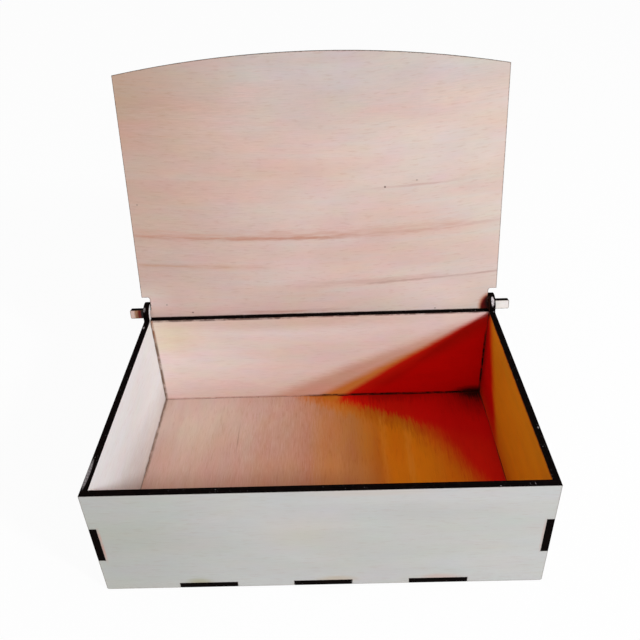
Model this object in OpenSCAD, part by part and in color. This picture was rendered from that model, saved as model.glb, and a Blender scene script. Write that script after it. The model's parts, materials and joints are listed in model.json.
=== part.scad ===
// Laser-cut plywood wine box with a bowed lid that swings on its own pins.
// Six flat sheets of one ply: a base, a front, a back, two sides with hinge ears, and the lid.
// X runs to the right, Y to the rear and Z up. The origin is the middle of the base's underside.
// The lid stands open, leaning back on the rear face of the back panel.

/* [Box] */
// Outer width of the box, left to right
body_w = 350; // [300:1:400]
// Outer depth of the box, front to back
body_d = 227; // [190:1:260]
// Height of the box from the table to its rim
body_h = 110; // [90:1:140]
// Thickness of the plywood
ply_t = 5.7; // [4:0.1:7]
// Radius that eases the lower outer corners of the box
foot_round = 1.6; // [0.5:0.1:3]

/* [Finger joints] */
// Length of each finger of the base
base_finger_w = 46; // [30:1:50]
// Fingers of the base in the front panel and in the back panel
long_fingers = 3; // [1:1:3]
// Fingers of the base in each side panel
short_fingers = 2; // [1:1:2]
// Height of the finger at each upright corner
corner_finger_h = 36.6; // [24:0.2:44]
// Gap that the laser leaves on each flank of a finger
kerf_gap = 0.1; // [0:0.05:0.3]

/* [Lid] */
// How far the middle of the lid's front edge bows out past its corners
lid_bow = 15.2; // [6:0.1:24]
// How far past upright the open lid leans back, in degrees
lid_lean = 11; // [6:0.5:20]
// Distance from the hinge axis to the shoulders of the lid
neck_l = 18; // [17:0.1:30]
// How far each side edge of the lid stands out past the box
lid_overhang = 1.6; // [0:0.1:4]
// Gap between the lid's neck and each side panel
neck_gap = 0.6; // [0.3:0.1:3]
// Radius in the inner corner under each shoulder
neck_round = 2; // [0.5:0.1:3]
// Gap between the closed lid and the rim
rim_gap = 0.1; // [0.05:0.05:0.5]

/* [Hinge] */
// Width of each hinge pin, measured along the lid
pin_w = 9; // [7:0.1:10]
// How far each pin stands out of the side panel
pin_reach = 15.2; // [8:0.1:20]
// Radius on the tip of each pin
pin_round = 1.3; // [0.4:0.1:2.5]
// Gap between the corners of a pin and its hole
pin_gap = 0.2; // [0.1:0.05:0.4]
// Wood left around the pin's hole in the ear
ear_wall = 5.7; // [4:0.1:7]
// Radius of the hollow where the ear meets the rim
ear_fillet = 1.8; // [1:0.1:5]
// Radius of the hollow under the ear's overhang
ear_back_fillet = 5; // [3:0.1:9]
// Gap between the open lid and the back panel that stops it
stop_gap = 0.05; // [0.02:0.01:0.3]

/* [Hidden] */

// Rounds are fine enough to look smooth; the lid's bow is a slice of a large circle.
round_fn = 96;
bow_fn = 720;
// Cutters run past the faces that they open, and fillers into the panel, by this much.
over = 1;

// Half sizes and inner faces
half_w = body_w / 2;
half_d = body_d / 2;
inner_w = body_w - 2 * ply_t;
inner_d = body_d - 2 * ply_t;
mid_h = body_h / 2;

// Hinge: the pin's corners sweep a circle, the hole clears it, and the ear is the wood around the hole.
pin_corner_r = sqrt(pow(pin_w / 2, 2) + pow(ply_t / 2, 2));
hole_r = pin_corner_r + pin_gap;
ear_r = hole_r + ear_wall;
// The axis stands behind the back panel by what the leaning lid's lower corner reaches forward.
axis_back = ply_t / 2 * cos(lid_lean) + pin_w / 2 * sin(lid_lean) + stop_gap;
axis_y = half_d + axis_back;
axis_z = body_h + rim_gap + ply_t / 2;

// Lid, measured from the hinge axis
lid_l = axis_y + half_d;
lid_w = body_w + 2 * lid_overhang;
neck_w = inner_w - 2 * neck_gap;
pins_w = body_w + 2 * pin_reach;
bow_r = (pow(lid_w / 2, 2) + pow(lid_bow, 2)) / (2 * lid_bow);

// Colours of the veneer faces
veneer_white = "#d8cdc4";
veneer_grey = "#c6c4c0";
veneer_pink = "#dcc6b8";
veneer_tan = "#cfa893";

// Middle of finger i in a row of n fingers, with gaps as long as the fingers
function finger_at(i, n) = (i - (n - 1) / 2) * 2 * base_finger_w;

// Fingers or their notches along the X axis, reaching out from y = 0 by depth
module finger_row(n, depth, gap) {
    for (i = [0 : n - 1])
        translate([finger_at(i, n) - base_finger_w / 2 - gap, 0])
            square([base_finger_w + 2 * gap, depth]);
}

// A finger or its notch on an upright edge, at the middle of the height, with its lower left at x
module corner_finger(x, depth, gap) {
    translate([x, mid_h - corner_finger_h / 2 - gap])
        square([depth, corner_finger_h + 2 * gap]);
}

// Sliver between a square corner at the origin and a round inside it, towards +X and +Y.
// Taken away it eases an outer corner, and added it fills an inner one.
module corner_sliver(r) {
    difference() {
        translate([-over, -over])
            square([r + over, r + over]);
        translate([r, r])
            circle(r = r, $fn = round_fn);
    }
}

// Floor sheet seen from above: the inner rectangle and a row of fingers on each side
module base_outline() {
    square([inner_w, inner_d], center = true);
    translate([0, inner_d / 2])
        finger_row(long_fingers, ply_t, 0);
    translate([0, -half_d])
        finger_row(long_fingers, ply_t, 0);
    for (turn = [90, -90])
        rotate(turn)
            translate([0, inner_w / 2])
                finger_row(short_fingers, ply_t, 0);
}

// Front sheet seen from the front, with its lower edge on y = 0
module front_outline() {
    difference() {
        translate([-half_w, 0])
            square([body_w, body_h]);
        translate([0, -over])
            finger_row(long_fingers, ply_t + over, kerf_gap);
        corner_finger(-half_w - over, ply_t + over, kerf_gap);
        corner_finger(half_w - ply_t, ply_t + over, kerf_gap);
        translate([-half_w, 0])
            corner_sliver(foot_round);
        translate([half_w, 0])
            mirror([1, 0])
                corner_sliver(foot_round);
    }
}

// Back sheet: it fits between the side panels and reaches through them at the corner fingers
module back_outline() {
    difference() {
        translate([-inner_w / 2, 0])
            square([inner_w, body_h]);
        translate([0, -over])
            finger_row(long_fingers, ply_t + over, kerf_gap);
    }
    corner_finger(-half_w, ply_t, 0);
    corner_finger(inner_w / 2, ply_t, 0);
}

// Filler that blends the ear into an edge of the panel: a wedge less the hollow's round.
// The ear's middle is at the origin, and the edge runs towards -X at the height edge_z.
// The wedge runs into the panel by the overrun, so that the two are one.
module ear_hollow(edge_z, r) {
    reach = sqrt(pow(ear_r + r, 2) - pow(edge_z + r, 2));
    difference() {
        linear_extrude(ply_t)
            polygon([[0, edge_z - over], [-reach, edge_z - over], [-reach, edge_z + r], [0, 0]]);
        translate([-reach, edge_z + r, -over])
            cylinder(r = r, h = ply_t + 2 * over, $fn = round_fn);
    }
}

// Side sheet without its ear, seen from the right: x runs to the rear and y up
module side_outline() {
    difference() {
        translate([-half_d + ply_t, 0])
            square([body_d - ply_t, body_h]);
        corner_finger(half_d - ply_t, ply_t + over, kerf_gap);
        translate([0, -over])
            finger_row(short_fingers, ply_t + over, kerf_gap);
        translate([half_d, 0])
            mirror([1, 0])
                corner_sliver(foot_round);
    }
    corner_finger(-half_d, ply_t, 0);
}

// Side sheet lying flat, with the ear grown out of its top rear corner and bored for the pin
module side_sheet() {
    difference() {
        union() {
            linear_extrude(ply_t)
                side_outline();
            translate([axis_y, axis_z, 0]) {
                cylinder(r = ear_r, h = ply_t, $fn = round_fn);
                ear_hollow(body_h - axis_z, ear_fillet);
                mirror([1, -1, 0])
                    ear_hollow(half_d - axis_y, ear_back_fillet);
            }
        }
        translate([axis_y, axis_z, -over])
            cylinder(r = hole_r, h = ply_t + 2 * over, $fn = round_fn);
    }
}

// Lid sheet with the hinge axis along x at y = 0 and the bowed edge towards +Y
module lid_outline() {
    // neck between the ears
    translate([-neck_w / 2, -pin_w / 2])
        square([neck_w, neck_l + over + pin_w / 2]);
    // sheet from the shoulders to the bowed edge
    intersection() {
        translate([-lid_w / 2, neck_l])
            square([lid_w, lid_l + lid_bow - neck_l]);
        translate([0, lid_l + lid_bow - bow_r])
            circle(r = bow_r, $fn = bow_fn);
    }
    // round in the corner under each shoulder
    for (side = [0, 1])
        mirror([side, 0])
            translate([neck_w / 2, neck_l])
                mirror([0, 1])
                    corner_sliver(neck_round);
    // pins
    pin_tongue();
}

// Both pins, as one straight tongue with rounded tips that runs through the neck's rear edge
module pin_tongue() {
    difference() {
        square([pins_w, pin_w], center = true);
        for (side = [0, 1], edge = [0, 1])
            mirror([side, 0])
                mirror([0, edge])
                    translate([-pins_w / 2, -pin_w / 2])
                        corner_sliver(pin_round);
    }
}

// Stands a flat sheet up across the box, with its front face at y
module stand_across(y) {
    translate([0, y + ply_t, 0])
        rotate([90, 0, 0])
            children();
}

// Stands a flat sheet up along the box, with its left face at x
module stand_along(x) {
    translate([x, 0, 0])
        rotate([90, 0, 90])
            children();
}

module base_panel() {
    color(veneer_tan)
        linear_extrude(ply_t)
            base_outline();
}

module front_panel() {
    color(veneer_grey)
        stand_across(-half_d)
            linear_extrude(ply_t)
                front_outline();
}

module back_panel() {
    color(veneer_pink)
        stand_across(half_d - ply_t)
            linear_extrude(ply_t)
                back_outline();
}

module left_side_panel() {
    color(veneer_white)
        stand_along(-half_w)
            side_sheet();
}

module right_side_panel() {
    color(veneer_white)
        stand_along(half_w - ply_t)
            side_sheet();
}

module lid() {
    color(veneer_pink)
        translate([0, axis_y, axis_z])
            rotate([90 - lid_lean, 0, 0])
                translate([0, 0, -ply_t / 2])
                    linear_extrude(ply_t)
                        lid_outline();
}

base_panel();
front_panel();
back_panel();
left_side_panel();
right_side_panel();
lid();
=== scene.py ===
"""Looks of the laser-cut plywood box with a bowed lid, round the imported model.

Each of the six sheets is a copy of its CAD node with eased edges, veneer on its faces and char on its cuts.
"""
import json
import math

import bmesh
import bpy
from mathutils import Matrix, Vector


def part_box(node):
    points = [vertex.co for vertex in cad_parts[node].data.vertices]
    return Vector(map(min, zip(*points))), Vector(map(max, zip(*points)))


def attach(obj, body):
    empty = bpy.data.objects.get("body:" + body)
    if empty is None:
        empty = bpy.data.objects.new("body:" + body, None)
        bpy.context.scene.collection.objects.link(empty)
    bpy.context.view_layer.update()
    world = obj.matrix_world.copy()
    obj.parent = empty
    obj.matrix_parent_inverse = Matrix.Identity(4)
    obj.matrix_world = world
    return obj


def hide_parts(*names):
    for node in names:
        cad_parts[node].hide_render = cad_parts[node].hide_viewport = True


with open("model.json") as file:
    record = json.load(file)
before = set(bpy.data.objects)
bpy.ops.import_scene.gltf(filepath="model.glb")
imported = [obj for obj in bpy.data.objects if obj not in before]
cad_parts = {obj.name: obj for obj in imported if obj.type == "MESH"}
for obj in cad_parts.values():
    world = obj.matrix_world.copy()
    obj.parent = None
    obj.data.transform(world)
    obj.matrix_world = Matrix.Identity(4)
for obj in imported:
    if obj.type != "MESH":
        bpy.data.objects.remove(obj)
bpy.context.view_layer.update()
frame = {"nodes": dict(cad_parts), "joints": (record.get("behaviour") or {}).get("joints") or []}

MM = 0.001

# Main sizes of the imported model, for placing patterns
RIM_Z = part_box("front_panel")[1].z
FLOOR_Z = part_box("base_panel")[1].z
PLY = FLOOR_Z
INNER_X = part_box("left_side_panel")[1].x * -1
INNER_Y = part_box("back_panel")[0].y
FRONT_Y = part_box("front_panel")[0].y
HINGE = Vector(frame["joints"][0]["pos_m"])
# From the leaning rest pose the lid shuts by a right angle and the lean
LID_LEAN = math.radians(frame["joints"][0]["range_deg"][1] - 90)

X = Vector((1, 0, 0))
Y = Vector((0, 1, 0))
Z = Vector((0, 0, 1))
# Up the open lid, from the hinge to the bowed edge
UP_LID = Vector((0, math.sin(LID_LEAN), math.cos(LID_LEAN)))


# ---------------------------------------------------------------- helpers

SMOOTH = {"interpolation_type": "SMOOTHSTEP"}
COLOUR_MIX = {"data_type": "RGBA", "out": 2}


def linear(hex_colour):
    """sRGB hex colour to linear RGBA."""
    parts = [int(hex_colour[i:i + 2], 16) / 255 for i in (1, 3, 5)]
    return [c / 12.92 if c <= 0.04045 else ((c + 0.055) / 1.055) ** 2.4 for c in parts] + [1.0]


def add(tree, kind, inputs, out=0, **settings):
    """Adds a node with its settings, feeds each input a value or another output, and returns one output."""
    made = tree.nodes.new("ShaderNode" + kind)
    for key, value in settings.items():
        setattr(made, key, value)
    for key, value in inputs.items():
        if isinstance(value, bpy.types.NodeSocket):
            tree.links.new(value, made.inputs[key])
        else:
            made.inputs[key].default_value = value
    return made.outputs[out] if made.outputs else None


def new_material(name):
    """Empty material and its node tree."""
    material = bpy.data.materials.new(name)
    material.use_nodes = True
    material.node_tree.nodes.clear()
    return material, material.node_tree


def sheet_place(tree, along, across, origin):
    """Object coordinates turned into a sheet's own: along the grain, across it, and out of the face."""
    turn = Matrix((along, across, along.cross(across)))
    return add(tree, "Mapping", {
        "Vector": add(tree, "TexCoord", {}, out="Object"),
        "Rotation": turn.to_euler(), "Location": -(turn @ origin)})


def blotches(tree, layers):
    """One value of noise for each layer.

    layers: (place, its size along, across and out in mm, detail, roughness, seed) of each.
    """
    made = []
    for place, size_mm, detail, rough, seed in layers:
        scaled = add(tree, "Mapping", {
            "Vector": place, "Scale": [1 / (side * MM) for side in size_mm],
            "Location": (seed, seed * 1.7, seed * 0.6)})
        made.append(add(tree, "TexNoise", {
            "Vector": scaled, "Scale": 1.0, "Detail": detail, "Roughness": rough}))
    return made


def distance_from(tree, value, at):
    """How far a value is from `at`, on either side."""
    off = add(tree, "Math", {0: value, 1: at}, operation="SUBTRACT")
    return add(tree, "Math", {0: off}, operation="ABSOLUTE")


def faded(tree, amount, along, start, end, fade):
    """An amount that fades to nothing round the start and the end of a stretch, in mm."""
    for limit, reach in ((start, fade), (end, -fade)):
        inside = add(tree, "MapRange", {
            0: along, 1: (limit - reach) * MM, 2: (limit + reach) * MM}, **SMOOTH)
        amount = add(tree, "Math", {0: amount, 1: inside}, operation="MULTIPLY")
    return amount


# ---------------------------------------------------------------- materials

STREAK_FADE = 15       # mm either way over which a streak of the grain fades out at its ends
SOOT_FADE = 10         # the same for the soot along a joint


def veneer(name, along, across, origin, face, warm, pale, figure=0.35, clouds=0.08, sweep=0.0,
           sweep_from=0.0, washes=(), streaks=(), lines=(), specks=(), seed=0.0, scorch=0.75,
           gloss=0.3, bleed=0.0):
    """Rotary-cut poplar veneer, sanded and left bare, with smoke from the laser at its edges.

    The eye sees a dull pinkish white sheet with fine short fibres along the grain, clouds of
    cream, pink and grey, a few reddish mineral streaks, and a brown fringe where the laser cut.
    face, warm, pale: the veneer's own tone, and how its blotches and its bands depart from it.
    figure, clouds: how strongly the bands and the clouds show.
    sweep, sweep_from: how fast the grain curves away, for each mm, and from where along the sheet.
    washes: (along, across, half length, half width, colour, strength, softness) of a change of tone, in mm;
    some are painted shade and painted light.
        One with a half length of a metre or more has a nearly straight edge.
    streaks: (across, half width, start, end, colour, strength) of a line that follows the grain, in mm.
    lines: (axis, at, half width, start, end, colour, strength) of soot along a joint, in mm; the lid's line
    along its lower edge is painted shade.
        The axis is "v" for a line along the grain and "u" for a line across it.
    specks: (along, across, radius) of a pin knot, in mm.
    seed: moves the noise, so that no two faces match.
    scorch: how strong the brown fringe is.
    gloss: the wood's specular level, set lower on the sheets with deep painted shade, so that its colour
    stays deep.
    bleed: how far the edge of a wash runs out along the fibres, in mm.
    """
    material, tree = new_material(name)
    place = sheet_place(tree, along, across, origin)
    u, v, w = add(tree, "SeparateXYZ", {0: place}).node.outputs
    flat = add(tree, "CombineXYZ", {0: u, 1: v})

    # The grain sweeps up towards an end, and wavers a little
    waver, = blotches(tree, [(place, (260, 120, 40), 1.0, 0.5, seed + 3)])
    waver = add(tree, "MapRange", {0: waver, 3: -4.5 * MM, 4: 4.5 * MM})
    swept = add(tree, "Math", {0: u, 1: sweep_from * MM}, operation="SUBTRACT")
    swept = add(tree, "Math", {0: swept, 1: 2.0}, operation="POWER")
    swept = add(tree, "Math", {0: swept, 1: -sweep / MM, 2: v}, operation="MULTIPLY_ADD")
    grain_v = add(tree, "Math", {0: swept, 1: waver}, operation="ADD")
    grain = add(tree, "CombineXYZ", {0: u, 1: grain_v, 2: w})

    # Broad tones, bands as wide as a year's growth, clouds, dashes of ray, fibres, pores, breaks in the
    # streaks, smoke, and licks of the laser. Real fibres are finer than 0.1 mm; these are 0.8 mm wide so
    # that they show.
    blotch, band, cloud, dash, fibre, pore, broken, smoke, lick = blotches(tree, [
        (grain, (150, 38, 30), 2.0, 0.5, seed), (grain, (170, 6.5, 8), 3.0, 0.5, seed + 11),
        (grain, (38, 17, 20), 2.0, 0.55, seed + 17), (grain, (11, 1.7, 3), 2.0, 0.5, seed + 19),
        (grain, (14, 0.8, 2), 3.0, 0.65, seed + 23), (grain, (6, 0.7, 2), 1.0, 0.5, seed + 31),
        (grain, (34, 2.2, 4), 3.0, 0.6, seed + 37), (place, (9, 9, 9), 3.0, 0.6, seed + 41),
        (place, (1.6, 1.6, 3), 2.0, 0.5, seed + 53)])

    # The edge of a wash runs out in teeth along the fibres, and is ragged
    teeth = add(tree, "MapRange", {0: dash, 3: -0.5 * bleed * MM, 4: 0.5 * bleed * MM})
    teeth = add(tree, "Math", {0: u, 1: teeth}, operation="ADD")
    bled = add(tree, "CombineXYZ", {0: teeth, 1: v})
    ragged = add(tree, "Math", {0: fibre, 1: 0.4}, operation="MULTIPLY")
    ragged = add(tree, "Math", {0: blotch, 1: 0.6, 2: ragged}, operation="MULTIPLY_ADD")
    colour = linear(face)
    for at_u, at_v, half_u, half_v, tone, strength, softness in washes:
        off = add(tree, "Mapping", {
            "Vector": bled, "Location": (at_u * MM, at_v * MM, 0),
            "Scale": (half_u * MM, half_v * MM, 1)}, vector_type="TEXTURE")
        reach = add(tree, "VectorMath", {0: off}, out="Value", operation="LENGTH")
        reach = add(tree, "Math", {0: ragged, 1: softness, 2: reach}, operation="MULTIPLY_ADD")
        amount = add(tree, "MapRange", {
            0: reach, 1: 1 + 0.5 * softness, 2: 1 - 0.5 * softness, 4: strength}, **SMOOTH)
        colour = add(tree, "Mix", {0: amount, 6: colour, 7: linear(tone)}, **COLOUR_MIX)

    # Blotches, bands, clouds and dashes tint what they lie on, and a cloud's tint is its noise's own colour
    warmer = [there / here for there, here in zip(linear(warm), linear(face))]
    paler = [there / here for there, here in zip(linear(pale), linear(face))]
    hues = add(tree, "VectorMath", {0: cloud.node.outputs[1], "Scale": 2.0}, operation="SCALE")
    for value, low, high, tint, strength in (
            (blotch, 0.38, 0.66, warmer, 1.0), (band, 0.42, 0.75, paler, figure),
            (cloud, 0.0, 0.01, hues, clouds), (dash, 0.55, 0.72, linear("#f2e6e0"), 1.5 * figure)):
        amount = add(tree, "MapRange", {0: value, 1: low, 2: high, 4: strength}, **SMOOTH)
        colour = add(tree, "Mix", {0: amount, 6: colour, 7: tint}, blend_type="MULTIPLY", **COLOUR_MIX)

    # A streak is frayed by the dashes at its sides, and broken along its length
    for at_v, half_v, start, end, tone, strength in streaks:
        off = distance_from(tree, grain_v, at_v * MM)
        off = add(tree, "Math", {0: dash, 1: 1.6 * half_v * MM, 2: off}, operation="MULTIPLY_ADD")
        amount = add(tree, "MapRange", {
            0: off, 1: 1.8 * half_v * MM, 2: 0.8 * half_v * MM, 4: strength}, **SMOOTH)
        amount = faded(tree, amount, u, start, end, STREAK_FADE)
        worn = add(tree, "MapRange", {0: broken, 1: 0.34, 2: 0.6, 3: 0.25}, **SMOOTH)
        amount = add(tree, "Math", {0: amount, 1: worn}, operation="MULTIPLY")
        colour = add(tree, "Mix", {0: amount, 6: colour, 7: linear(tone)}, **COLOUR_MIX)

    # Fibres and pores lighten and darken what is under them
    shade = add(tree, "MapRange", {0: fibre, 1: 0.25, 2: 0.75, 3: 0.97, 4: 1.02}, **SMOOTH)
    pores = add(tree, "MapRange", {0: pore, 1: 0.66, 2: 0.8, 3: 1.0, 4: 0.96}, **SMOOTH)
    shade = add(tree, "Math", {0: shade, 1: pores}, operation="MULTIPLY")
    shade = add(tree, "CombineColor", {0: shade, 1: shade, 2: shade})
    colour = add(tree, "Mix", {0: 1.0, 6: colour, 7: shade}, blend_type="MULTIPLY", **COLOUR_MIX)

    for at_u, at_v, radius in specks:
        far = add(tree, "VectorMath", {0: flat, 1: (at_u * MM, at_v * MM, 0)}, out="Value",
                  operation="DISTANCE")
        spot = add(tree, "MapRange", {0: far, 1: radius * MM, 2: 0.3 * radius * MM, 4: 0.85}, **SMOOTH)
        colour = add(tree, "Mix", {0: spot, 6: colour, 7: linear("#3d2a22")}, **COLOUR_MIX)

    # Soot along the joints comes and goes, and so does the painted shade along the lid's lower edge
    worn = add(tree, "MapRange", {0: smoke, 1: 0.36, 2: 0.56, 3: 0.45}, **SMOOTH)
    for axis, at, half, start, end, tone, strength in lines:
        over, beside = (u, v) if axis == "v" else (v, u)
        off = distance_from(tree, beside, at * MM)
        amount = add(tree, "MapRange", {0: off, 1: half * MM, 2: 0.45 * half * MM, 4: strength}, **SMOOTH)
        amount = faded(tree, amount, over, start, end, SOOT_FADE)
        amount = add(tree, "Math", {0: amount, 1: worn}, operation="MULTIPLY")
        colour = add(tree, "Mix", {0: amount, 6: colour, 7: linear(tone)}, **COLOUR_MIX)

    # Brown fringe beside each cut, in short licks
    edge = add(tree, "Attribute", {}, out="Fac", attribute_name="scorch")
    licks = add(tree, "MapRange", {0: lick, 1: 0.3, 2: 0.75, 3: -0.45, 4: 0.1})
    fringe = add(tree, "Math", {0: edge, 1: licks}, operation="ADD")
    for value, low, tone, strength in ((edge, 0.0, "#a9815f", 0.28), (fringe, 0.25, "#4a2c1c", 1.0)):
        amount = add(tree, "MapRange", {0: value, 1: low, 2: 1.0, 4: strength * scorch}, **SMOOTH)
        colour = add(tree, "Mix", {0: amount, 6: colour, 7: linear(tone)}, **COLOUR_MIX)

    shader = add(tree, "BsdfPrincipled", {
        "Base Color": colour,
        "Roughness": add(tree, "MapRange", {0: fibre, 1: 0.2, 2: 0.8, 3: 0.58, 4: 0.74}),
        "Normal": add(tree, "Bump", {"Height": fibre, "Strength": 0.25, "Distance": 0.06 * MM}),
        "IOR": 1.5, "Specular IOR Level": gloss})
    add(tree, "OutputMaterial", {"Surface": shader})
    return material


def charred_cut(name, along, across, origin, glint_spots=()):
    """Laser-cut edge of plywood, burnt to char.

    The eye sees a soot-black edge with faint burn lines through the thickness, the three plies
    just told apart at the glue lines, and small grey specks of ash and cooked resin.
    glint_spots: (x, y, z, radius x, radius y, radius z, strength) of a painted highlight, a paler place on
    the char, in mm.
    """
    material, tree = new_material(name)
    place = sheet_place(tree, along, across, origin)
    w = add(tree, "SeparateXYZ", {0: place}, out=2)

    # Burn lines run through the sheet; real ones are about 0.1 mm wide, and these 0.5 mm so that they show
    burn, soot, fleck, patch = blotches(tree, [
        (place, (0.5, 0.5, 14), 2.0, 0.5, 5), (place, (5, 5, 5), 3.0, 0.5, 9),
        (place, (0.9, 0.9, 1.4), 2.0, 0.5, 17), (place, (11, 11, 11), 1.0, 0.5, 29)])
    colour = add(tree, "Mix", {
        0: add(tree, "MapRange", {0: soot, 1: 0.4, 2: 0.75}, **SMOOTH),
        6: linear("#040202"), 7: linear("#0e0807")}, **COLOUR_MIX)
    from_middle = add(tree, "Math", {0: w}, operation="ABSOLUTE")
    off = distance_from(tree, from_middle, PLY / 6)
    glue = add(tree, "MapRange", {0: off, 1: 0.22 * MM, 2: 0.06 * MM, 4: 0.7}, **SMOOTH)
    colour = add(tree, "Mix", {0: glue, 6: colour, 7: linear("#150c08")}, **COLOUR_MIX)

    ash_and_glint = add(tree, "Math", {
        0: add(tree, "MapRange", {0: fleck, 1: 0.66, 2: 0.76}, **SMOOTH),
        1: add(tree, "MapRange", {0: patch, 1: 0.56, 2: 0.74}, **SMOOTH)}, operation="MULTIPLY")
    # Painted highlights: each glint spot paints a pale, flecked sheen of light on the char
    for x, y, z, rx, ry, rz, strength in glint_spots:
        near = add(tree, "Mapping", {
            "Vector": add(tree, "TexCoord", {}, out="Object"),
            "Location": (-x / rx, -y / ry, -z / rz), "Scale": (1 / MM / rx, 1 / MM / ry, 1 / MM / rz)})
        near = add(tree, "VectorMath", {0: near}, out="Value", operation="LENGTH")
        near = add(tree, "MapRange", {0: near, 1: 1.0, 2: 0.6}, **SMOOTH)
        flecked = add(tree, "MapRange", {
            0: fleck, 1: 0.3, 2: 0.6, 3: 0.25 * strength, 4: strength}, **SMOOTH)
        glint = add(tree, "Math", {0: near, 1: flecked}, operation="MULTIPLY")
        ash_and_glint = add(tree, "Math", {0: ash_and_glint, 1: glint}, operation="MAXIMUM")
    # The random flecks and the painted highlights take one pale grey
    colour = add(tree, "Mix", {0: ash_and_glint, 6: colour, 7: linear("#dcd3d4")}, **COLOUR_MIX)

    height = add(tree, "Math", {0: burn, 1: glue}, operation="SUBTRACT")
    shader = add(tree, "BsdfPrincipled", {
        "Base Color": colour,
        "Roughness": add(tree, "MapRange", {0: soot, 1: 0.3, 2: 0.7, 3: 0.7, 4: 0.9}),
        "Normal": add(tree, "Bump", {"Height": height, "Strength": 0.5, "Distance": 0.08 * MM}),
        "IOR": 1.45, "Specular IOR Level": 0.02})
    add(tree, "OutputMaterial", {"Surface": shader})
    return material


# ---------------------------------------------------------------- sheets

EASE = 0.22 * MM                   # the laser's sharp edge is rubbed down by this much
FRINGE = 1.1 * MM                  # width of the scorched fringe on the faces
ONE_POINT = 0.002 * MM             # points closer than this are one
ONE_PLANE = math.radians(0.3)      # facets that turn by less than this are one face
CORNER = math.radians(30)          # an edge that turns by more than this is a corner, and is eased
ONE_ROUND = math.radians(20)       # facets that turn by less than this are shaded as one round
FACE_ON = 0.999                    # least share of a face's normal along `out` on the sheet's two sides


def cut_sheet(name, node, body, out, faces, cut):
    """Dressed copy of a CAD sheet: eased edges, a scorch value beside each cut, veneer and char.

    faces: the materials of the side towards `out` and of the side away from it.
    """
    bm = bmesh.new()
    bm.from_mesh(frame["nodes"][node].data)
    bmesh.ops.remove_doubles(bm, verts=bm.verts, dist=ONE_POINT)
    bmesh.ops.dissolve_limit(bm, angle_limit=ONE_PLANE, verts=bm.verts, edges=bm.edges)
    sharp = [e for e in bm.edges if e.is_manifold and e.calc_face_angle() > CORNER]
    bmesh.ops.bevel(bm, geom=sharp, offset=EASE, offset_type="OFFSET", segments=2, profile=0.5,
                    affect="EDGES", clamp_overlap=True, material=-1)
    bm.normal_update()
    flats = [f for f in bm.faces if abs(f.normal.dot(out)) > FACE_ON]
    bmesh.ops.inset_region(bm, faces=flats, thickness=FRINGE, depth=0, use_even_offset=True,
                           use_boundary=True)
    bm.normal_update()

    layer = bm.verts.layers.float.new("scorch")
    for vert in bm.verts:
        vert[layer] = 1.0
    for face in flats:
        for vert in face.verts:
            vert[layer] = 0.0
    for face in bm.faces:
        facing = face.normal.dot(out)
        face.material_index = 0 if facing > FACE_ON else 1 if facing < -FACE_ON else 2
        face.smooth = face.material_index == 2

    mesh = bpy.data.meshes.new(name)
    bm.to_mesh(mesh)
    bm.free()
    for material in (*faces, cut):
        mesh.materials.append(material)
    mesh.set_sharp_from_angle(angle=ONE_ROUND)
    piece = bpy.data.objects.new(name, mesh)
    bpy.context.scene.collection.objects.link(piece)
    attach(piece, body)
    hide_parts(node)
    return piece


# Tones of the veneers, as the photograph has them in plain light; the amber and the red-brown are painted
# shade, the colour of the box's inside where the lamp's shadow falls
PINK, GREY_WHITE = "#e0c9c0", "#dbd3cf"
SHADE_AMBER, SHADE_RED_BROWN = "#e88500", "#d60802"
# The rim's, floor's, side walls' and rear wall's places in mm, for soot along the joints
RIM, FLOOR = RIM_Z / MM, FLOOR_Z / MM
SIDE, REAR = INNER_X / MM, INNER_Y / MM
# Middle of the box's underside, from which the patterns of its sheets are measured
MIDDLE = Vector((0, 0, 0))

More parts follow.
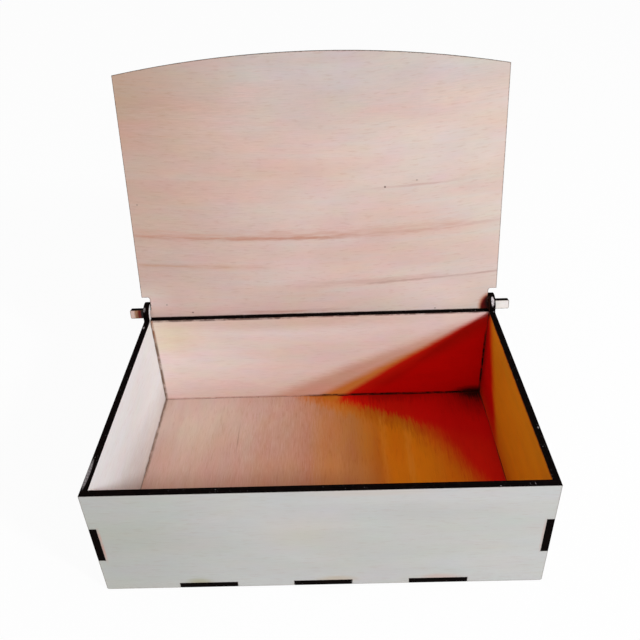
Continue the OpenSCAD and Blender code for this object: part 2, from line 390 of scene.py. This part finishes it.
lid_inner = veneer(
    "poplar_veneer_lid_underside", X, UP_LID, HINGE, PINK, "#dec1b6", GREY_WHITE,
    sweep=2.77e-4, sweep_from=-35, seed=1,
    # The lid is painted lighter near the hinge and darker towards its bowed edge, painted light bounced up
    # from the box; the other broad washes are the veneer's tone
    washes=[(-190, 170, 190, 300, "#c9a896", 0.72, 0.9), (240, 120, 230, 300, "#dacdc1", 0.6, 0.9),
            (-200, 260, 190, 130, "#b68f73", 0.7, 0.9), (0, 262, 260, 90, "#c8b7ae", 0.75, 0.9),
            (40, 225, 150, 45, "#cdc5c3", 0.6, 0.8), (-40, 150, 130, 34, "#dcae9c", 0.25, 0.8),
            (0, 190, 130, 36, "#cdb5a9", 0.45, 0.9), (-140, 0, 190, 40, "#e2c6bd", 0.7, 0.9),
            (-172, 12, 34, 24, "#efd7d0", 0.6, 0.9), (30, 38, 120, 26, "#ecd9d0", 0.45, 0.9),
            (165, 235, 60, 44, "#cbbdb4", 0.6, 0.9), (118, 10, 62, 34, "#eedcd4", 0.5, 0.9),
            # Painted shadow of the right hinge ear on the lid, orange at its edge and black by the ear; the
            # right pin painted pale again outside it; and the painted shadow of the left ear on the left
            # pin, brown at its tip to black by the ear
            (171, -1, 13.5, 17, "#c06a2c", 0.75, 0.35), (171, -1, 11, 14, "#7c0600", 1.0, 0.3),
            (172, 3, 9, 12, "#0c0202", 0.95, 0.6), (188, 0, 13, 40, "#efeae5", 0.9, 0.05),
            (-178.5, 0, 9, 16, "#9a6a42", 0.9, 0.3), (-176.5, 0, 7.2, 16, "#7a0c02", 0.95, 0.3),
            (-175, 0, 5.6, 16, "#0a0302", 1.0, 0.3)],
    streaks=[(75.2, 3.0, -178, 35, "#b87c65", 0.75), (76.0, 2.6, 20, 178, "#c4978a", 0.35),
             (78.5, 8.5, -178, 140, "#cf9f8c", 0.6), (46.5, 3.0, -178, -50, "#c08a68", 0.45),
             (24.2, 1.7, 40, 178, "#ac8278", 0.55), (26.5, 5.0, -20, 120, "#cba79b", 0.5),
             (121, 1.8, 55, 150, "#c0958a", 0.5), (-0.8, 2.4, -70, 20, "#c2816c", 0.6)],
    # Painted shade along the lid's lower edge, above the back rim
    lines=[("v", -3.9, 0.9, -170, 170, "#4a1c14", 0.6)],
    specks=[(66.1, 122.9, 1.3), (95.9, 128.6, 0.8), (116.4, -1.9, 0.9), (-152.1, 9.5, 0.8),
            (-126.8, 0.5, 1.1), (-168.9, 112.8, 0.8)])
lid_outer = veneer(
    "poplar_veneer_lid_top", X, UP_LID, HINGE, PINK, "#dabdb2", GREY_WHITE,
    sweep=-1.6e-4, sweep_from=60, seed=8,
    washes=[(140, 60, 140, 90, "#caa590", 0.5, 0.8)],
    streaks=[(58, 3.0, -178, 178, "#b98270", 0.6), (140, 3.6, -120, 178, "#c1958a", 0.5),
             (176, 2.2, -178, 30, "#ba8b79", 0.5)],
    specks=[(-92, 66, 1.2), (40, 180, 0.9)])
lid_cut = charred_cut("charred_cut_lid", X, UP_LID, HINGE)

front_outer = veneer(
    "poplar_veneer_front", X, Z, MIDDLE, "#c9c8c5", "#c5c4bf", "#cfcfcd", figure=0.2, clouds=0.045, seed=14,
    washes=[(-165, 60, 130, 110, "#b7b8b0", 0.6, 0.9), (-10, 62, 60, 30, "#cfc4b6", 0.4, 0.9),
            (-99, 6, 14, 8, "#aca67e", 0.6, 0.8), (93, 7, 22, 6, "#d3aea2", 0.5, 0.8),
            (12, 7, 22, 6, "#c7ae89", 0.45, 0.8), (37, 107, 60, 5, "#cfbfb2", 0.4, 0.8),
            (60, 85, 130, 16, "#c3bebd", 0.4, 0.9)],
    lines=[("u", -168.2, 1.4, 38, 70, "#c99a8c", 0.7), ("u", 168.2, 1.2, 38, 70, "#c4a79c", 0.5)],
    scorch=0.4)
front_inner = veneer(
    "poplar_veneer_front_inside", X, Z, MIDDLE, PINK, "#d0b2a4", GREY_WHITE, seed=19,
    lines=[("v", FLOOR, 1.1, -170, 170, "#5c3a28", 0.7)])
front_cut = charred_cut("charred_cut_across", X, Z, Vector((0, FRONT_Y + PLY / 2, 0)))

# The right end of the inside is amber to red-brown in the photograph, in the lamp's shadow; that shade is
# painted into the rear wall, the right wall and the floor
back_inner = veneer(
    "poplar_veneer_back_inside", X, Z, MIDDLE, "#f4e5df", "#f1ddd5", "#f7eeea", figure=0.2, seed=27,
    washes=[(-150, 90, 40, 34, "#f0dfbb", 0.55, 0.9), (-40, 106, 190, 16, "#e0bfab", 0.55, 0.8),
            # Darker towards the bottom; the amber wash near the floor and all the washes after it are
            # painted shade: a tan and an amber edge, red-brown within, and the darkest shade in the bottom
            # right corner
            (-80, 0, 280, 44, "#dcc0b5", 0.6, 0.9), (60, 0, 90, 14, "#d08a4c", 0.7, 0.8),
            (862, -1789, 2024, 2024, "#d39f86", 0.75, 0.008),
            (1053, -1694, 2006, 2006, "#cc7a10", 0.88, 0.005),
            (1248, -1569, 1999, 1999, "#c60802", 0.98, 0.004),
            (1254, -1577, 1999, 1999, "#ee0602", 0.9, 0.009), (161, 7, 28, 10, "#150805", 0.92, 0.8)],
    lines=[("v", FLOOR, 2.6, -170, 0, "#b98472", 0.6), ("v", FLOOR, 2.6, -12, 170, "#380602", 1.0),
           ("v", RIM, 3.2, -168, -30, "#3a0f08", 0.8), ("v", RIM, 2.2, -30, 168, "#54180f", 0.7),
           ("u", -SIDE, 3.2, 8, 85, "#84705f", 0.95), ("u", -SIDE, 3.0, 85, 112, "#a06a48", 0.9),
           ("u", SIDE, 2.4, 5, 84, "#1e0a05", 1.0)],
    scorch=0.4, gloss=0.1)
back_outer = veneer(
    "poplar_veneer_back", X, Z, MIDDLE, "#cfc4bc", "#cbbbb0", "#d4cdc7", seed=33,
    streaks=[(64, 2.4, -168, 90, "#b38c79", 0.45)], specks=[(70, 40, 1.1)])
back_cut = charred_cut("charred_cut_back", X, Z, Vector((0, INNER_Y + PLY / 2, 0)))

left_inner = veneer(
    "poplar_veneer_left_inside", Y, Z, MIDDLE, "#f0f7fa", "#eef3f5", "#f4f9fc", figure=0.2, clouds=0.04,
    seed=41,
    # Painted shade: both washes darken the wall low down, most towards the front
    washes=[(-75, 8, 150, 80, "#b9afa9", 0.75, 0.9), (20, -10, 400, 62, "#c4b8b0", 0.6, 0.9)],
    lines=[("v", FLOOR, 3.8, 0, 110, "#938277", 0.9), ("v", FLOOR, 2.6, -110, 0, "#a29388", 0.6),
           ("u", REAR, 2.4, 4, 112, "#84705f", 0.8)],
    scorch=0.5)
left_outer = veneer(
    "poplar_veneer_left", Y, Z, MIDDLE, "#d6cdc6", "#cfc0b6", "#dcd6d0", seed=47,
    streaks=[(38, 2.2, -110, 60, "#b99684", 0.4)])
# The whole right inside wall is painted shade: red-brown, amber towards the front and top, darker low down
# and at the rear, and nearly black on the inside of the hinge ear
right_inner = veneer(
    "poplar_veneer_right_inside", Y, Z, MIDDLE, SHADE_RED_BROWN, "#ca0702", "#dc0902", figure=0.25, seed=53,
    washes=[(-756, 608, 1000, 1000, "#e69010", 0.98, 0.025), (0, -20, 400, 54, "#cf4006", 0.7, 0.7),
            (108, 50, 18, 90, "#7e0301", 0.5, 0.9), (117, 114, 19, 17, "#140403", 0.97, 0.4)],
    lines=[("v", FLOOR, 1.8, -110, 110, "#3a1005", 0.9), ("v", RIM, 2.6, -110, 90, "#7a1202", 0.8),
           ("u", REAR, 1.8, 4, 84, "#2c0a05", 0.9)],
    gloss=0.1)
right_outer = veneer(
    "poplar_veneer_right", Y, Z, MIDDLE, "#d6cdc6", "#cfc0b6", "#dcd6d0", seed=59,
    streaks=[(72, 2.0, -60, 110, "#b99684", 0.4)], specks=[(-40, 46, 1.0)])
# The glint spots paint highlights on the rims and on the front of the hinge ears
left_cut = charred_cut(
    "charred_cut_left", Y, Z, Vector((-INNER_X - PLY / 2, 0, 0)),
    glint_spots=[(-173.6, -92, 110, 1.7, 17, 3, 0.4), (-173.2, 95.6, 110, 1.1, 2.4, 2, 0.45),
               (-168, 27, 110, 1.2, 7, 2, 0.25), (-173.8, 110, 121.6, 1.3, 3, 3, 0.32)])
right_cut = charred_cut(
    "charred_cut_right", Y, Z, Vector((INNER_X + PLY / 2, 0, 0)),
    glint_spots=[(172.2, 109.9, 120.2, 1.8, 5.8, 6.2, 1.0), (173.5, 106.3, 110.4, 1.0, 1.0, 1.2, 0.5),
               (173.4, -55, 110, 0.9, 1.4, 2, 0.4)])

floor_top = veneer(
    "poplar_veneer_floor", Y, -X, MIDDLE, "#d7bbb0", "#d0ab9d", "#dcc7bb", figure=0.35, seed=67,
    washes=[(60, 120, 50, 60, "#dac8b0", 0.5, 0.9), (-130, 80, 220, 300, "#b8754c", 0.6, 0.8),
            # From here on the washes are painted shade: tan and amber at the soft edge of the lamp's
            # shadow, red-brown within it, darkest in the rear right corner
            (0, -120, 400, 255, "#b8754c", 0.85, 0.68), (0, -190, 400, 232, "#b87434", 0.93, 0.4),
            (0, -190, 400, 162, SHADE_AMBER, 0.95, 0.25), (979, -499, 1024, 1024, "#cc7a06", 0.6, 0.016),
            (979, -485, 1016, 1016, "#bd530a", 0.65, 0.025),
            (470, -1001, 1012, 1012, "#cb5c0c", 0.5, 0.03), (979, -485, 1000, 1000, SHADE_RED_BROWN, 0.96, 0.014),
            (470, -1001, 1000, 1000, SHADE_RED_BROWN, 0.96, 0.03), (107, -75, 16, 90, "#a80602", 0.6, 0.9),
            (104, -160, 44, 44, "#6a0301", 0.6, 0.9), (108, -165, 16, 34, "#150805", 0.92, 0.8),
            (-15, -22, 45, 50, "#c98550", 0.5, 0.9), (106, -10, 10, 13, "#bd7120", 0.85, 0.6)],
    # The first streak is the wood's own; the three amber ones are painted shade, fine streaks along the
    # grain within it
    streaks=[(84.5, 1.2, 20, 60, "#8d6353", 0.5), (-60, 5.0, -110, 80, "#eda545", 0.22),
             (-84, 6.0, -110, 58, "#eda545", 0.22), (-113, 5.0, -110, 30, "#e88a20", 0.25)],
    lines=[("u", REAR, 2.0, -170, 12, "#440802", 1.0), ("v", SIDE, 2.8, 0, 110, "#8d7668", 0.8)],
    scorch=0.3, gloss=0.1, bleed=22)
floor_under = veneer(
    "poplar_veneer_underside", Y, -X, MIDDLE, "#d0bcae", "#c9b0a0", "#d6c8be", seed=71,
    streaks=[(20, 2.4, -110, 110, "#b18d79", 0.45), (-90, 2.0, -60, 110, "#b18d79", 0.4)])
floor_cut = charred_cut("charred_cut_base", Y, -X, Vector((0, 0, PLY / 2)))

# Out of the lid's underside, which looks forward while the lid stands open
LID_OUT = X.cross(UP_LID)
cut_sheet("base_sheet", "base_panel", "box", Z, (floor_top, floor_under), floor_cut)
cut_sheet("front_sheet", "front_panel", "box", -Y, (front_outer, front_inner), front_cut)
cut_sheet("back_sheet", "back_panel", "box", -Y, (back_inner, back_outer), back_cut)
cut_sheet("left_side_sheet", "left_side_panel", "box", X, (left_inner, left_outer), left_cut)
cut_sheet("right_side_sheet", "right_side_panel", "box", -X, (right_inner, right_outer),
          right_cut)
cut_sheet("lid_sheet", "lid", "lid", LID_OUT, (lid_inner, lid_outer), lid_cut)


# ---------------------------------------------------------------- studio

SKY = 0.58                     # strength of the even light from all round
FLOOR_GLOW = 0.94              # share of plain white in the floor that the camera sees; the rest is shaded
FLOOR_HALF = 8.0               # half the floor's side, in metres
FLOOR_DROP = 0.4 * MM          # the floor lies this far below the box, so that the two don't touch
LAMP_FAR = 2.3                 # metres from the lamp to what it is aimed at
LAMP_WIDTH = 0.27              # metres; it sets how soft the shadows are
LAMP_POWER = 31                # watts
CAMERA_PLACE = (13.12 * MM, -446.87 * MM, 493.58 * MM)
PAN, DIP, ROLL = 1.072, 31.941, -2.188       # the camera's turns in degrees
FOCAL_LENGTH = 37.946                        # for a picture 36 mm wide
SHIFT_X, SHIFT_Y = -0.00076, -0.0563         # of the picture, in shares of its width
NEAREST, FARTHEST = 0.01, 50                 # metres that the camera sees between


def white_to_eye(tree, plain, white):
    """Shader that the camera, gloss and clear things see as white, and other rays as plain."""
    rays = add(tree, "LightPath", {}).node.outputs
    seen = add(tree, "Math", {0: rays["Is Camera Ray"], 1: rays["Is Glossy Ray"]}, operation="ADD")
    seen = add(tree, "Math", {0: seen, 1: rays["Is Transmission Ray"]}, operation="ADD", use_clamp=True)
    return add(tree, "MixShader", {0: seen, 1: plain, 2: white})


world = bpy.data.worlds.new("studio")
bpy.context.scene.world = world
world.use_nodes = True
world.node_tree.nodes.clear()
sky = add(world.node_tree, "Background", {"Color": linear("#ffffff"), "Strength": SKY})
white_sky = add(world.node_tree, "Background", {"Color": linear("#ffffff"), "Strength": 1.0})
add(world.node_tree, "OutputWorld", {"Surface": white_to_eye(world.node_tree, sky, white_sky)})

paper, paper_tree = new_material("white_paper_floor")
matt = add(paper_tree, "BsdfDiffuse", {"Color": linear("#e2e3e4")})
shaded = add(paper_tree, "BsdfDiffuse", {"Color": linear("#f8f8f8")})
glow = add(paper_tree, "Emission", {"Color": linear("#ffffff"), "Strength": 1.0})
lit = add(paper_tree, "MixShader", {0: FLOOR_GLOW, 1: shaded, 2: glow})
add(paper_tree, "OutputMaterial", {"Surface": white_to_eye(paper_tree, matt, lit)})

bm = bmesh.new()
bmesh.ops.create_grid(bm, x_segments=1, y_segments=1, size=FLOOR_HALF)
bmesh.ops.translate(bm, verts=bm.verts, vec=(0, 0, -FLOOR_DROP))
floor_mesh = bpy.data.meshes.new("floor")
bm.to_mesh(floor_mesh)
bm.free()
floor_mesh.materials.append(paper)
floor = bpy.data.objects.new("floor", floor_mesh)
bpy.context.scene.collection.objects.link(floor)

# One soft lamp, high on the right and a little in front, as the shadows in the box tell
TOWARDS_LAMP = Vector((1.42, -1.08, 1.0)).normalized()
LAMP_AIM = Vector((0, 0, 0.12))
lamp = bpy.data.lights.new("soft_lamp", "AREA")
lamp.shape = "DISK"
lamp.size = LAMP_WIDTH
lamp.energy = LAMP_POWER
lamp.color = linear("#fbfcff")[:3]
lamp_object = bpy.data.objects.new("soft_lamp", lamp)
lamp_object.location = LAMP_AIM + TOWARDS_LAMP * LAMP_FAR
lamp_object.rotation_euler = (-TOWARDS_LAMP).to_track_quat("-Z", "Y").to_euler()
bpy.context.scene.collection.objects.link(lamp_object)

# Camera, from the perspective of the box's edges in the photograph
lens = bpy.data.cameras.new("camera")
lens.sensor_width = 36
lens.lens = FOCAL_LENGTH
lens.shift_x = SHIFT_X
lens.shift_y = SHIFT_Y
lens.clip_start = NEAREST
lens.clip_end = FARTHEST
camera = bpy.data.objects.new("camera", lens)
camera.matrix_world = (
    Matrix.Translation(CAMERA_PLACE)
    @ Matrix.Rotation(math.radians(PAN), 4, "Z")
    @ Matrix.Rotation(math.radians(90 - DIP), 4, "X")
    @ Matrix.Rotation(math.radians(ROLL), 4, "Z"))
bpy.context.scene.collection.objects.link(camera)
bpy.context.scene.camera = camera
bpy.context.scene.view_settings.view_transform = "Standard"
